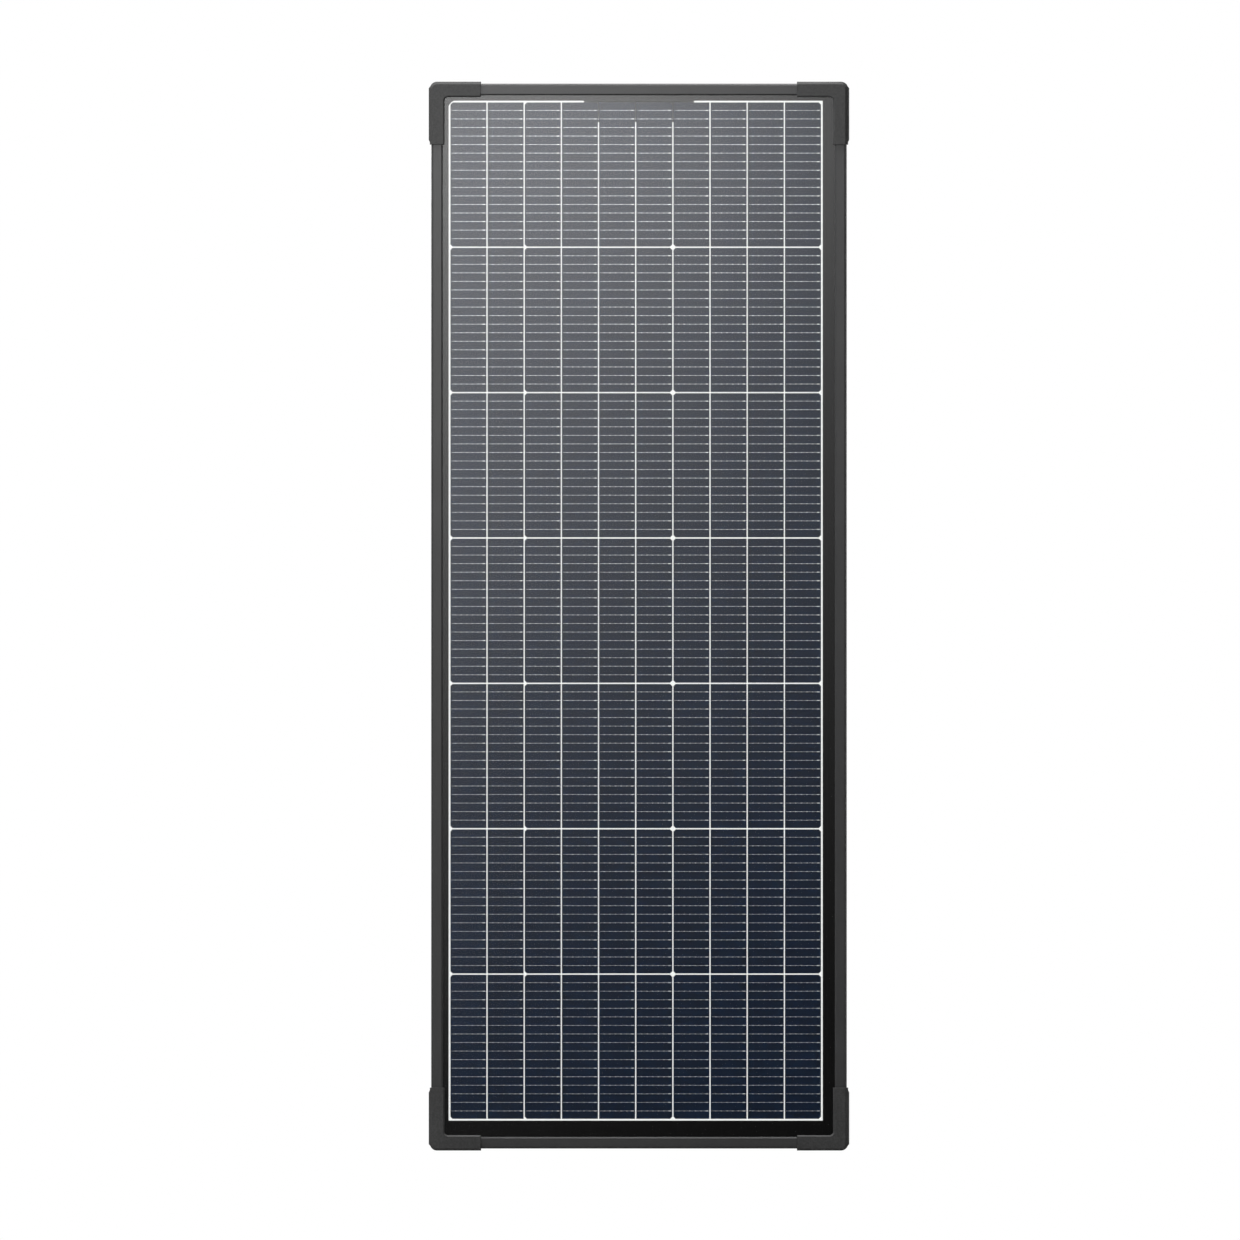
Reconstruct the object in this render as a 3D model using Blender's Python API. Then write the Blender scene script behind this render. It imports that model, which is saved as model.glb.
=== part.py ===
"""Framed glass-glass solar panel with rounded corner guards and a rear junction box.

The panel stands upright.  X runs to the right across its front, Z runs up, and the front faces -Y.
The origin is the middle of the plane that the rear flanges of the frame lie in, so that y = 0 is
the plane of the rack behind the panel and everything in front of it has a negative y.
All lengths are in metres.
"""

import math

import bmesh
import bpy

# ---------------------------------------------------------------- driving dimensions

FRAME_WIDTH = 0.5245
FRAME_HEIGHT = 1.3448
FRAME_DEPTH = 0.030

WALL = 0.0015               # aluminium wall of the frame section
LIP_WIDTH = 0.01465         # how far the front lip covers the glass
LIP_EDGE_RADIUS = 0.0029
LIP_CHAMFER_WIDTH = 0.0019   # slope from the lip down to the glass
LIP_CHAMFER_DEPTH = 0.0012
SLOT_DEPTH = 0.0070         # clear depth of the channel that holds the laminate
LEDGE_WIDTH = 0.0110
CHAMBER_WIDTH = 0.0055      # inside width of the hollow chamber behind the ledge
FLANGE_WIDTH = 0.0200
CORNER_CLIP = 2 * WALL      # the mitred tips are clipped along this leg

CELL_WIDTH = 0.0455         # a quarter of a 182 mm wafer
CELL_HEIGHT = 0.182
CELL_CHAMFER = 0.0028
COLUMN_PITCH = 0.04695
ROW_PITCH = 0.1836
COLUMNS = 10
ROWS = 7
ARRAY_CENTRE_X = -0.0040    # the right-hand margin also carries the return ribbon
ARRAY_CENTRE_Z = 0.0069
OUTLINE_GAP = 0.0022        # clear line between the cells and the black border

GLASS = 0.0020
BORDER_FILM = 0.00015
ENCAPSULANT = 0.0004
CELL_LAYER = 0.00025
LAYER_GAP = 0.0001
LAMINATE_INSET = 0.0035     # from the outer face of the frame to the edge of the glass

GAP = 0.0003                # between neighbouring pieces that are assembled, not laminated

GUARD_GAP = 0.0002
GUARD_PLATE = 0.0021        # thickness of its front and rear plates
GUARD_SIDE_WALL = 0.0015    # along the long sides of the panel
GUARD_END_WALL = 0.00235    # along the short sides
GUARD_PAD = 0.0014          # raised bumper on the long side
GUARD_ARM_ACROSS = 0.0625   # arm ends, measured from the corner of the frame
GUARD_ARM_ALONG = 0.0770
GUARD_OVERHANG = 0.0022     # beyond the lip, over the glass
GUARD_CORNER_RADIUS = 0.0090
GUARD_INNER_RADIUS = 0.0048
GUARD_REAR_INNER_RADIUS = 0.0126
GUARD_REAR_OVERHANG = 0.0005
GUARD_HOOK_LENGTH = 0.010

MOUNT_SLOT_WIDTH = 0.0066
MOUNT_SLOT_LENGTH = 0.0100
MOUNT_SLOT_SPACING = 0.800

BOX_WIDTH = 0.1386          # junction box
BOX_LOW = 0.6238            # lower edge of its lid
BOX_WALL = 0.0030
BOX_FLOOR = 0.0020
HINGE_X = 0.027
HINGE_Y = -0.0046
HINGE_Z = 0.6485
HINGE_RADIUS = 0.0019
PIN_RADIUS = 0.0010
RUNNING_CLEARANCE = 0.00008
KNUCKLE_LENGTH = 0.009
EAR_THICKNESS = 0.0027
GLAND_X = 0.027
GLAND_BORE = 0.0032         # radius, for a 6 mm solar cable
TERMINAL_XS = (-0.027, 0.0, 0.027)
LEAD_HOLE_RADIUS = 0.0030
LEAD_HOLE_Z = 0.65515
RIBBON_WIDTH = 0.0040

# ---------------------------------------------------------------- places worked out from them

HALF_WIDTH = FRAME_WIDTH / 2
HALF_HEIGHT = FRAME_HEIGHT / 2
FRONT = -FRAME_DEPTH
SLOT_FRONT = FRONT + WALL
SLOT_BACK = SLOT_FRONT + SLOT_DEPTH
CHAMBER_FRONT = SLOT_BACK + WALL
CHAMBER_BACK = -WALL
CHAMBER_FAR = WALL + CHAMBER_WIDTH

STACK = [
    ("front_glass", GLASS),
    ("border_mask", BORDER_FILM),
    ("front_encapsulant", ENCAPSULANT),
    ("cells", CELL_LAYER),
    ("rear_encapsulant", ENCAPSULANT),
    ("rear_glass", GLASS),
]
STACK_DEPTH = sum(thickness for _, thickness in STACK) + LAYER_GAP * (len(STACK) - 1)
STACK_FRONT = (SLOT_FRONT + SLOT_BACK - STACK_DEPTH) / 2

BASE_LOW = BOX_LOW + 0.0018
BASE_HIGH = 0.6596
BASE_FRONT = SLOT_BACK + 0.00055
RIM_Y = -0.0056
SHELF_Y = -0.0070
RIM_TOP_Z = 0.6464
LID_TOP_Z = 0.6462
RIM_INNER_Z = 0.6430
FLOOR_Y = BASE_FRONT + BOX_FLOOR
GLAND_Y = -0.0130

ROUND_SIDES = 24

MATERIALS = {
    "anodised_frame": ((0.055, 0.056, 0.058), 0.42, 0.6),
    "guard_plastic": ((0.040, 0.040, 0.041), 0.62, 0.0),
    "box_plastic": ((0.085, 0.086, 0.088), 0.50, 0.0),
    "seal_rubber": ((0.020, 0.020, 0.020), 0.80, 0.0),
    "clear_glass": ((0.90, 0.95, 0.93), 0.08, 0.0),
    "border_film": ((0.004, 0.004, 0.005), 0.45, 0.0),
    "encapsulant": ((0.95, 0.95, 0.94), 0.30, 0.0),
    "silicon": ((0.008, 0.012, 0.028), 0.35, 0.2),
    "tinned_copper": ((0.62, 0.62, 0.60), 0.35, 1.0),
    "cast_zinc": ((0.45, 0.46, 0.47), 0.45, 1.0),
    "brass": ((0.70, 0.53, 0.26), 0.30, 1.0),
    "pin_steel": ((0.56, 0.57, 0.58), 0.28, 1.0),
}


# ---------------------------------------------------------------- modelling helpers

def clear_scene():
    for old in list(bpy.data.objects):
        bpy.data.objects.remove(old, do_unlink=True)


def material(name):
    """The Principled material of that name, made the first time it is asked for."""
    found = bpy.data.materials.get(name)
    if found:
        return found
    colour, roughness, metallic = MATERIALS[name]
    made = bpy.data.materials.new(name)
    made.use_nodes = True
    shader = made.node_tree.nodes["Principled BSDF"]
    shader.inputs["Base Color"].default_value = (*colour, 1.0)
    shader.inputs["Roughness"].default_value = roughness
    shader.inputs["Metallic"].default_value = metallic
    return made


def add_object(name, shape, material_name, location=(0.0, 0.0, 0.0), rotation=(0.0, 0.0, 0.0)):
    """Turn a bmesh into a named object, facing out, and place it."""
    bmesh.ops.recalc_face_normals(shape, faces=shape.faces[:])
    mesh = bpy.data.meshes.new(name)
    shape.to_mesh(mesh)
    shape.free()
    mesh.shade_smooth()
    mesh.set_sharp_from_angle(angle=math.radians(32))
    made = bpy.data.objects.new(name, mesh)
    bpy.context.scene.collection.objects.link(made)
    made.data.materials.append(material(material_name))
    made.location = location
    made.rotation_euler = rotation
    return made


def arc(centre, radius, start_degrees, end_degrees, steps):
    """Points along a circular arc, both ends included."""
    points = []
    for step in range(steps + 1):
        angle = math.radians(start_degrees + (end_degrees - start_degrees) * step / steps)
        points.append((centre[0] + radius * math.cos(angle), centre[1] + radius * math.sin(angle)))
    return points


def circle(centre, radius, sides=ROUND_SIDES):
    return arc(centre, radius, 0, 360, sides)[:-1]


def rectangle(low_a, high_a, low_b, high_b):
    return [(low_a, low_b), (high_a, low_b), (high_a, high_b), (low_a, high_b)]


def rounded_rectangle(low_a, high_a, low_b, high_b, radius, steps=3):
    return (
        arc((low_a + radius, low_b + radius), radius, 180, 270, steps)
        + arc((high_a - radius, low_b + radius), radius, 270, 360, steps)
        + arc((high_a - radius, high_b - radius), radius, 0, 90, steps)
        + arc((low_a + radius, high_b - radius), radius, 90, 180, steps)
    )


def extruded(loops, axis, start, end):
    """Solid swept along X, Y or Z from flat loops: the outline first, then its holes.

    A loop's points are (y, z) along X, (x, z) along Y and (x, y) along Z.
    """
    to_point = {
        "X": lambda a, b: (start, a, b),
        "Y": lambda a, b: (a, start, b),
        "Z": lambda a, b: (a, b, start),
    }[axis]
    shape = bmesh.new()
    for loop in loops:
        corners = [shape.verts.new(to_point(a, b)) for a, b in loop]
        for first, second in zip(corners, corners[1:] + corners[:1]):
            shape.edges.new((first, second))
    bmesh.ops.triangle_fill(shape, use_beauty=True, edges=shape.edges[:])
    swept = bmesh.ops.extrude_face_region(shape, geom=shape.faces[:])
    moved = [item for item in swept["geom"] if isinstance(item, bmesh.types.BMVert)]
    step = {"X": (end - start, 0, 0), "Y": (0, end - start, 0), "Z": (0, 0, end - start)}[axis]
    bmesh.ops.translate(shape, verts=moved, vec=step)
    return shape


def stacked(sections):
    """Solid through loops of (x, z) points at rising or falling depths: [(y, loop), ...]."""
    shape = bmesh.new()
    rings = [[shape.verts.new((x, y, z)) for x, z in loop] for y, loop in sections]
    for lower, upper in zip(rings, rings[1:]):
        for here in range(len(lower)):
            there = (here + 1) % len(lower)
            shape.faces.new((lower[here], lower[there], upper[there], upper[here]))
    shape.faces.new(rings[0])
    shape.faces.new(rings[-1])
    return shape


def turned(profile, hollow, sides=ROUND_SIDES):
    """Turned piece about the local Z axis, from (radius, height) points.

    A hollow piece's profile closes on itself around the bore; a solid one is capped at its ends.
    """
    shape = bmesh.new()
    rings = []
    for radius, height in profile:
        rings.append([shape.verts.new((x, y, height)) for x, y in circle((0, 0), radius, sides)])
    pairs = list(zip(rings, rings[1:]))
    if hollow:
        pairs.append((rings[-1], rings[0]))
    for lower, upper in pairs:
        for here in range(sides):
            there = (here + 1) % sides
            shape.faces.new((lower[here], lower[there], upper[there], upper[here]))
    if not hollow:
        shape.faces.new(rings[0])
        shape.faces.new(rings[-1])
    return shape


def swept_ring(section, low_x, high_x, low_z, high_z):
    """Rectangular ring with mitred corners; section points are (inset, y) from the given edges."""
    shape = bmesh.new()
    rings = []
    for inset, y in section:
        loop = rectangle(low_x + inset, high_x - inset, low_z + inset, high_z - inset)
        rings.append([shape.verts.new((x, y, z)) for x, z in loop])
    for lower, upper in zip(rings, rings[1:] + rings[:1]):
        for here in range(4):
            there = (here + 1) % 4
            shape.faces.new((lower[here], lower[there], upper[there], upper[here]))
    return shape


def box_shape(low, high):
    return extruded([rectangle(low[0], high[0], low[1], high[1])], "Z", low[2], high[2])


def guide(name, shape, location=(0.0, 0.0, 0.0), rotation=(0.0, 0.0, 0.0)):
    """An object that only shapes another one."""
    made = add_object(name, shape, "box_plastic", location, rotation)
    made.hide_render = True
    made.display_type = "WIRE"
    return made


def apply_boolean(target, other, operation):
    change = target.modifiers.new(f"{operation.lower()}_{other.name}", "BOOLEAN")
    change.operation = operation
    change.object = other
    change.solver = "EXACT"


def cut(target, cutter):
    apply_boolean(target, cutter, "DIFFERENCE")


def join(target, addition):
    apply_boolean(target, addition, "UNION")


def round_edges(target, width, segments=2):
    bevel = target.modifiers.new("rounded_edges", "BEVEL")
    bevel.width = width
    bevel.segments = segments
    bevel.limit_method = "ANGLE"
    bevel.angle_limit = math.radians(40)


# ---------------------------------------------------------------- frame

def rail_section():
    """Outline and hollow chamber of a frame rail, as (y, inset from its outer face) points."""
    radius = LIP_EDGE_RADIUS
    outer_edge = [(y, inset) for y, inset in arc((FRONT + radius, radius), radius, 270, 180, 4)]
    outline = [(0.0, 0.0)]
    outline += outer_edge
    outline += [
        (FRONT, LIP_WIDTH - LIP_CHAMFER_WIDTH),
        (FRONT + LIP_CHAMFER_DEPTH, LIP_WIDTH),
        (SLOT_FRONT, LIP_WIDTH),
        (SLOT_FRONT, WALL),
        (SLOT_BACK, WALL),
        (SLOT_BACK, LEDGE_WIDTH),
        (CHAMBER_FRONT, LEDGE_WIDTH),
        (CHAMBER_FRONT, CHAMBER_FAR + WALL),
        (CHAMBER_BACK, CHAMBER_FAR + WALL),
        (CHAMBER_BACK, FLANGE_WIDTH),
        (0.0, FLANGE_WIDTH),
        (0.0, WALL),
    ]
    chamber = rectangle(CHAMBER_FRONT, CHAMBER_BACK, WALL, CHAMBER_FAR)
    return [outline, chamber]


def rail_shape(length):
    """A rail along local X with its outer face at z = 0, mitred inwards at both ends."""
    shape = extruded(rail_section(), "X", -length / 2, length / 2)
    for corner in shape.verts:
        inset = max(corner.co.z, CORNER_CLIP - corner.co.z) + GAP * 0.7
        corner.co.x -= math.copysign(inset, corner.co.x)
    return shape


def slot_loop(centre_x, centre_z, width, length):
    """Outline of a slot with round ends, long in z."""
    radius = width / 2
    reach = length / 2 - radius
    upper = arc((centre_x, centre_z + reach), radius, 0, 180, 8)
    lower = arc((centre_x, centre_z - reach), radius, 180, 360, 8)
    return upper + lower


def build_rails():
    quarter = math.pi / 2
    rails = {}
    rails["top"] = add_object(
        "rail_top", rail_shape(FRAME_WIDTH), "anodised_frame", (0, 0, HALF_HEIGHT), (0, math.pi, 0))
    rails["bottom"] = add_object(
        "rail_bottom", rail_shape(FRAME_WIDTH), "anodised_frame", (0, 0, -HALF_HEIGHT))
    rails["left"] = add_object(
        "rail_left", rail_shape(FRAME_HEIGHT), "anodised_frame", (-HALF_WIDTH, 0, 0), (0, quarter, 0))
    rails["right"] = add_object(
        "rail_right", rail_shape(FRAME_HEIGHT), "anodised_frame", (HALF_WIDTH, 0, 0), (0, -quarter, 0))
    cut_rail_holes(rails)


def cut_rail_holes(rails):
    """Mounting slots and an earthing hole in each long rail, drain slots in the short ones."""
    flange_middle = HALF_WIDTH - (CHAMBER_FAR + WALL + FLANGE_WIDTH) / 2
    through = (CHAMBER_BACK - WALL, WALL)
    for side, name in ((-1, "left"), (1, "right")):
        x = side * flange_middle
        for level in (-1, 1):
            z = level * MOUNT_SLOT_SPACING / 2
            loop = slot_loop(x, z, MOUNT_SLOT_WIDTH, MOUNT_SLOT_LENGTH)
            cut(rails[name], guide(f"slot_{name}_{level}", extruded([loop], "Y", *through)))
        earthing = extruded([circle((x, -HALF_HEIGHT / 3), 0.002, 16)], "Y", *through)
        cut(rails[name], guide(f"earthing_{name}", earthing))
    for level, name in ((-1, "bottom"), (1, "top")):
        flange_z = level * (HALF_HEIGHT - (CHAMBER_FAR + WALL + FLANGE_WIDTH) / 2)
        for side in (-1, 1):
            x = side * FRAME_WIDTH * 0.3
            loop = rounded_rectangle(x - 0.006, x + 0.006, flange_z - 0.002, flange_z + 0.002, 0.0019)
            cut(rails[name], guide(f"drain_{name}_{side}", extruded([loop], "Y", *through)))


def build_corner_keys():
    """L-shaped keys that join two rails by their hollow chambers."""
    near = WALL + GAP
    far = CHAMBER_FAR - GAP
    leg = 0.040
    outline = [(near, near), (leg, near), (leg, far), (far, far), (far, leg), (near, leg)]
    for side, side_name in ((-1, "left"), (1, "right")):
        for level, level_name in ((-1, "bottom"), (1, "top")):
            loop = [(side * (HALF_WIDTH - s), level * (HALF_HEIGHT - t)) for s, t in outline]
            shape = extruded([loop], "Y", CHAMBER_FRONT + GAP, CHAMBER_BACK - GAP)
            add_object(f"corner_key_{level_name}_{side_name}", shape, "cast_zinc")


# ---------------------------------------------------------------- corner guards

def guard_outline(inner_edge, inner_radius, outer_inset=0.0, inner_inset=0.0, end_inset=0.0):
    """L-shaped outline, as distances in from the frame's outer faces: (across, along)."""
    outer_across = -GUARD_GAP - GUARD_SIDE_WALL + outer_inset
    outer_along = -GUARD_GAP - GUARD_END_WALL + outer_inset
    end_across = GUARD_ARM_ACROSS - end_inset
    end_along = GUARD_ARM_ALONG - end_inset
    inner = inner_edge - inner_inset
    fillet = inner_radius + inner_inset
    corner = GUARD_CORNER_RADIUS - outer_inset
    points = [(end_across, outer_along), (end_across, inner)]
    points += arc((inner + fillet, inner + fillet), fillet, 270, 180, 5)
    points += [(inner, end_along), (outer_across, end_along)]
    points += arc((outer_across + corner, outer_along + corner), corner, 180, 270, 8)
    return points


def guard_sections():
    """Depths and outlines from the rear face of a guard to its front face."""
    front_inner = LIP_WIDTH + GUARD_OVERHANG
    rear_inner = FLANGE_WIDTH + GUARD_REAR_OVERHANG
    rear_face = GUARD_GAP + GUARD_PLATE
    front_face = FRONT - rear_face
    rear = guard_outline(rear_inner, GUARD_REAR_INNER_RADIUS)
    rear_edge = guard_outline(rear_inner, GUARD_REAR_INNER_RADIUS, 0.0006, 0.0, 0.0004)
    front = guard_outline(front_inner, GUARD_INNER_RADIUS)
    front_edge = guard_outline(front_inner, GUARD_INNER_RADIUS, 0.0032, 0.0018, 0.0006)
    return [
        (rear_face, rear_edge),
        (rear_face - 0.0006, rear),
        (0.0, rear),
        (0.0, front),
        (front_face + 0.0017, front),
        (front_face, front_edge),
    ]


def build_corner_guards():
    for side, side_name in ((-1, "left"), (1, "right")):
        for level, level_name in ((-1, "bottom"), (1, "top")):
            build_corner_guard(f"corner_guard_{level_name}_{side_name}", side, level)


def build_corner_guard(name, side, level):
    """A moulded cap that grips the front lip and the rear flange of two rails."""

    def placed(loop):
        return [(side * (HALF_WIDTH - s), level * (HALF_HEIGHT - t)) for s, t in loop]

    guard = add_object(
        name, stacked([(y, placed(loop)) for y, loop in guard_sections()]), "guard_plastic")
    beyond = GUARD_ARM_ALONG * 1.2
    clip = CORNER_CLIP - GUARD_GAP * (math.sqrt(2) - 1)
    cavity = placed([(-GUARD_GAP, clip), (clip, -GUARD_GAP), (beyond, -GUARD_GAP),
                     (beyond, beyond), (-GUARD_GAP, beyond)])
    cut(guard, guide(f"{name}_cavity", extruded([cavity], "Y", FRONT - GUARD_GAP, GUARD_GAP)))

    pad_outer = -GUARD_GAP - GUARD_SIDE_WALL - GUARD_PAD
    pad = placed([(-0.0009, 0.0030), (pad_outer, 0.0056), (pad_outer, 0.0710),
                  (-0.0009, 0.0755)])
    pad_inset = placed([(-0.0009, 0.0034), (pad_outer + 0.0010, 0.0066),
                        (pad_outer + 0.0010, 0.0698), (-0.0009, 0.0748)])
    pad_sections = [(-0.0010, pad_inset), (-0.0022, pad), (-0.0278, pad), (-0.0290, pad_inset)]
    join(guard, guide(f"{name}_pad", stacked(pad_sections)))

    hook_start = FLANGE_WIDTH - 0.0010
    hook_end = FLANGE_WIDTH + 0.0014
    lip_start = FLANGE_WIDTH + GUARD_GAP
    rear_face = GUARD_GAP + GUARD_PLATE
    across = (GUARD_ARM_ACROSS - GUARD_HOOK_LENGTH, GUARD_ARM_ACROSS - 0.0005)
    along = (GUARD_ARM_ALONG - GUARD_HOOK_LENGTH, GUARD_ARM_ALONG - 0.0005)
    profile = [(rear_face - 0.0003, hook_start), (rear_face - 0.0003, hook_end),
               (-0.0030, hook_end), (-0.0030, lip_start),
               (GUARD_GAP + 0.0003, lip_start), (GUARD_GAP + 0.0003, hook_start)]
    level_profile = [(y, level * (HALF_HEIGHT - inset)) for y, inset in profile]
    ends = sorted(side * (HALF_WIDTH - s) for s in across)
    join(guard, guide(f"{name}_hook_across", extruded([level_profile], "X", *ends)))
    side_profile = [(side * (HALF_WIDTH - inset), y) for y, inset in profile]
    ends = sorted(level * (HALF_HEIGHT - t) for t in along)
    join(guard, guide(f"{name}_hook_along", extruded([side_profile], "Z", *ends)))


# ---------------------------------------------------------------- laminate

def layer(name):
    """Front and back depths of a layer of the laminate."""
    front = STACK_FRONT
    for layer_name, thickness in STACK:
        if layer_name == name:
            return front, front + thickness
        front += thickness + LAYER_GAP
    raise ValueError(name)


def column_x(column):
    return ARRAY_CENTRE_X + (column - (COLUMNS - 1) / 2) * COLUMN_PITCH


def row_z(row):
    """Middle of a row, counted from the top."""
    return ARRAY_CENTRE_Z + ((ROWS - 1) / 2 - row) * ROW_PITCH


def array_edges():
    """Left, right, bottom and top edges of the cells."""
    return (
        column_x(0) - CELL_WIDTH / 2,
        column_x(COLUMNS - 1) + CELL_WIDTH / 2,
        row_z(ROWS - 1) - CELL_HEIGHT / 2,
        row_z(0) + CELL_HEIGHT / 2,
    )


def build_edge_gasket():
    """U-shaped gasket between the edge of the laminate and the channel of the frame."""
    gap = LAYER_GAP
    outer = WALL + GAP
    web = LAMINATE_INSET - 2 * gap
    leg_front = SLOT_FRONT + gap
    leg_back = SLOT_BACK - gap
    stack_back = STACK_FRONT + STACK_DEPTH
    section = [
        (outer, leg_front),
        (LIP_WIDTH - 0.002, leg_front),
        (LIP_WIDTH - 0.002, STACK_FRONT - gap),
        (web, STACK_FRONT - gap),
        (web, stack_back + gap),
        (LEDGE_WIDTH - 0.0005, stack_back + gap),
        (LEDGE_WIDTH - 0.0005, leg_back),
        (outer, leg_back),
    ]
    shape = swept_ring(section, -HALF_WIDTH, HALF_WIDTH, -HALF_HEIGHT, HALF_HEIGHT)
    add_object("edge_gasket", shape, "seal_rubber")


def build_sheet(name, material_name, holes=False):
    """A full-size sheet of the laminate, with the three lead holes where it has them."""
    front, back = layer(name)
    half_width = HALF_WIDTH - LAMINATE_INSET
    half_height = HALF_HEIGHT - LAMINATE_INSET
    loops = [rectangle(-half_width, half_width, -half_height, half_height)]
    if holes:
        loops += [circle((x, LEAD_HOLE_Z), LEAD_HOLE_RADIUS, 16) for x in TERMINAL_XS]
    add_object(name, extruded(loops, "Y", front, back), material_name)


def build_border_mask():
    """Black film that hides the ribbons around the cells."""
    front, back = layer("border_mask")
    inset = LAMINATE_INSET + 0.001
    outer = rectangle(-HALF_WIDTH + inset, HALF_WIDTH - inset, -HALF_HEIGHT + inset, HALF_HEIGHT - inset)
    left, right, bottom, top = array_edges()
    gap = OUTLINE_GAP
    opening = rectangle(left - gap, right + gap, bottom - gap, top + gap)
    add_object("border_mask", extruded([outer, opening], "Y", front, back), "border_film")


def cell_outline(column, row):
    """A quarter-cut cell: only a wafer's own corners are chamfered."""
    left = column_x(column) - CELL_WIDTH / 2
    right = left + CELL_WIDTH
    low = row_z(row) - CELL_HEIGHT / 2
    high = low + CELL_HEIGHT
    chamfer_left = CELL_CHAMFER if column in (0, 2, 6) else 0.0
    chamfer_right = CELL_CHAMFER if column in (5, 9) else 0.0
    points = []
    for x, z, leg, corner_x, corner_z in (
        (left, low, chamfer_left, 1, 1),
        (right, low, chamfer_right, -1, 1),
        (right, high, chamfer_right, -1, -1),
        (left, high, chamfer_left, 1, -1),
    ):
        if leg == 0.0:
            points.append((x, z))
            continue
        ends = [(x, z + corner_z * leg), (x + corner_x * leg, z)]
        points += ends if corner_x == corner_z else ends[::-1]
    return points


def build_cell_strings():
    """Seven strings of ten cells; two bands in each gap stand for the string's fine wires."""
    front, back = layer("cells")
    overlap = 0.002
    for row in range(ROWS):
        shape = bmesh.new()
        for column in range(COLUMNS):
            append_shape(shape, extruded([cell_outline(column, row)], "Y", front, back))
        string = add_object(f"cell_string_{row + 1}", shape, "silicon")
        bands = bmesh.new()
        for column in range(COLUMNS - 1):
            x = (column_x(column) + column_x(column + 1)) / 2
            reach = (COLUMN_PITCH - CELL_WIDTH) / 2 + overlap
            for level in (-1, 1):
                z = row_z(row) + level * CELL_HEIGHT / 4
                low = (x - reach, front + 0.00005, z - 0.001)
                high = (x + reach, back - 0.00005, z + 0.001)
                append_shape(bands, box_shape(low, high))
        join(string, guide(f"cell_string_{row + 1}_bands", bands))


def append_shape(target, part):
    """Copy one bmesh into another."""
    mesh = bpy.data.meshes.new("piece")
    bmesh.ops.recalc_face_normals(part, faces=part.faces[:])
    part.to_mesh(mesh)
    part.free()
    target.from_mesh(mesh)
    bpy.data.meshes.remove(mesh)


def left_lane(number):
    """Middle of a ribbon lane in the left margin, counted outwards from the cells."""
    return array_edges()[0] - OUTLINE_GAP - 0.0040 - number * 0.0070


def right_lane(number):
    return array_edges()[1] + OUTLINE_GAP + 0.0046 + number * 0.0080


def build_bus_links():
    """Ribbons that join one string's end to the next, right and left by turns."""
    front, back = layer("cells")
    end_margin = 0.005
    for row in range(ROWS - 1):
        x = right_lane(0) if row % 2 == 0 else left_lane(0)
        high = row_z(row) + CELL_HEIGHT / 2 - end_margin
        low = row_z(row + 1) - CELL_HEIGHT / 2 + end_margin
        shape = box_shape((x - RIBBON_WIDTH / 2, front, low), (x + RIBBON_WIDTH / 2, back, high))
        add_object(f"bus_link_{row + 1}_{row + 2}", shape, "tinned_copper")


def ribbon_outline(points):
    """Flat outline of a ribbon that turns square corners, from its middle line."""
    half = RIBBON_WIDTH / 2
    left_side = []
    right_side = []
    for index, (x, z) in enumerate(points):
        before = points[max(index - 1, 0)]
        after = points[min(index + 1, len(points) - 1)]
        arriving = direction(before, (x, z)) or direction((x, z), after)
        leaving = direction((x, z), after) or arriving
        shift_x = -half * (arriving[1] + leaving[1]) / (2 if arriving == leaving else 1)
        shift_z = half * (arriving[0] + leaving[0]) / (2 if arriving == leaving else 1)
        left_side.append((x + shift_x, z + shift_z))
        right_side.append((x - shift_x, z - shift_z))
    return left_side + right_side[::-1]


def direction(start, end):
    """Unit direction between two points on a square route, or None where they coincide."""
    along_x = end[0] - start[0]
    along_z = end[1] - start[1]
    length = math.hypot(along_x, along_z)
    if length == 0:
        return None
    return round(along_x / length), round(along_z / length)


def build_bus_leads():
    """Ribbons from the two ends and from the middle tap of the circuit to the junction box."""
    left, right, _, top = array_edges()
    lower_lane = top + OUTLINE_GAP + 0.0085
    upper_lane = lower_lane + 0.0060
    first_low = row_z(0) - CELL_HEIGHT / 2 + 0.005
    tap_z = (row_z(4) + row_z(3)) / 2
    last_low = row_z(ROWS - 1) - CELL_HEIGHT / 2 + 0.005
    last_high = row_z(ROWS - 1) + CELL_HEIGHT / 2 - 0.005
    positive = [(left_lane(0), first_low), (left_lane(0), lower_lane), (TERMINAL_XS[0], lower_lane)]
    tap = [(left_lane(0) - RIBBON_WIDTH / 2 - GAP, tap_z), (left_lane(1), tap_z),
           (left_lane(1), upper_lane), (TERMINAL_XS[1], upper_lane)]
    negative = [(right_lane(0), last_low), (right_lane(0), last_high), (right_lane(1), last_high),
                (right_lane(1), lower_lane), (TERMINAL_XS[2], lower_lane)]
    build_bus_lead("bus_lead_positive", positive, TERMINAL_XS[0])
    build_bus_lead("bus_lead_tap", tap, TERMINAL_XS[1])
    build_bus_lead("bus_lead_negative", negative, TERMINAL_XS[2])


def build_bus_lead(name, route, exit_x):
    """A lead: flat in the laminate, then out through the rear glass and down to its terminal."""
    front, back = layer("cells")
    lead = add_object(name, extruded([ribbon_outline(route)], "Y", front, back), "tinned_copper")
    thickness = back - front
    start_z = route[-1][1]
    tail_y = FLOOR_Y + 0.0055
    riser = [
        (front + 0.00002, start_z),
        (front + 0.00002, LEAD_HOLE_Z - thickness / 2),
        (tail_y, LEAD_HOLE_Z - thickness / 2),
        (tail_y, 0.6370),
        (tail_y + thickness, 0.6370),
        (tail_y + thickness, LEAD_HOLE_Z + thickness / 2),
        (back - 0.00002, LEAD_HOLE_Z + thickness / 2),
        (back - 0.00002, start_z),
    ]
    half = RIBBON_WIDTH / 2 - 0.0002
    join(lead, guide(f"{name}_riser", extruded([riser], "X", exit_x - half, exit_x + half)))


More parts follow.
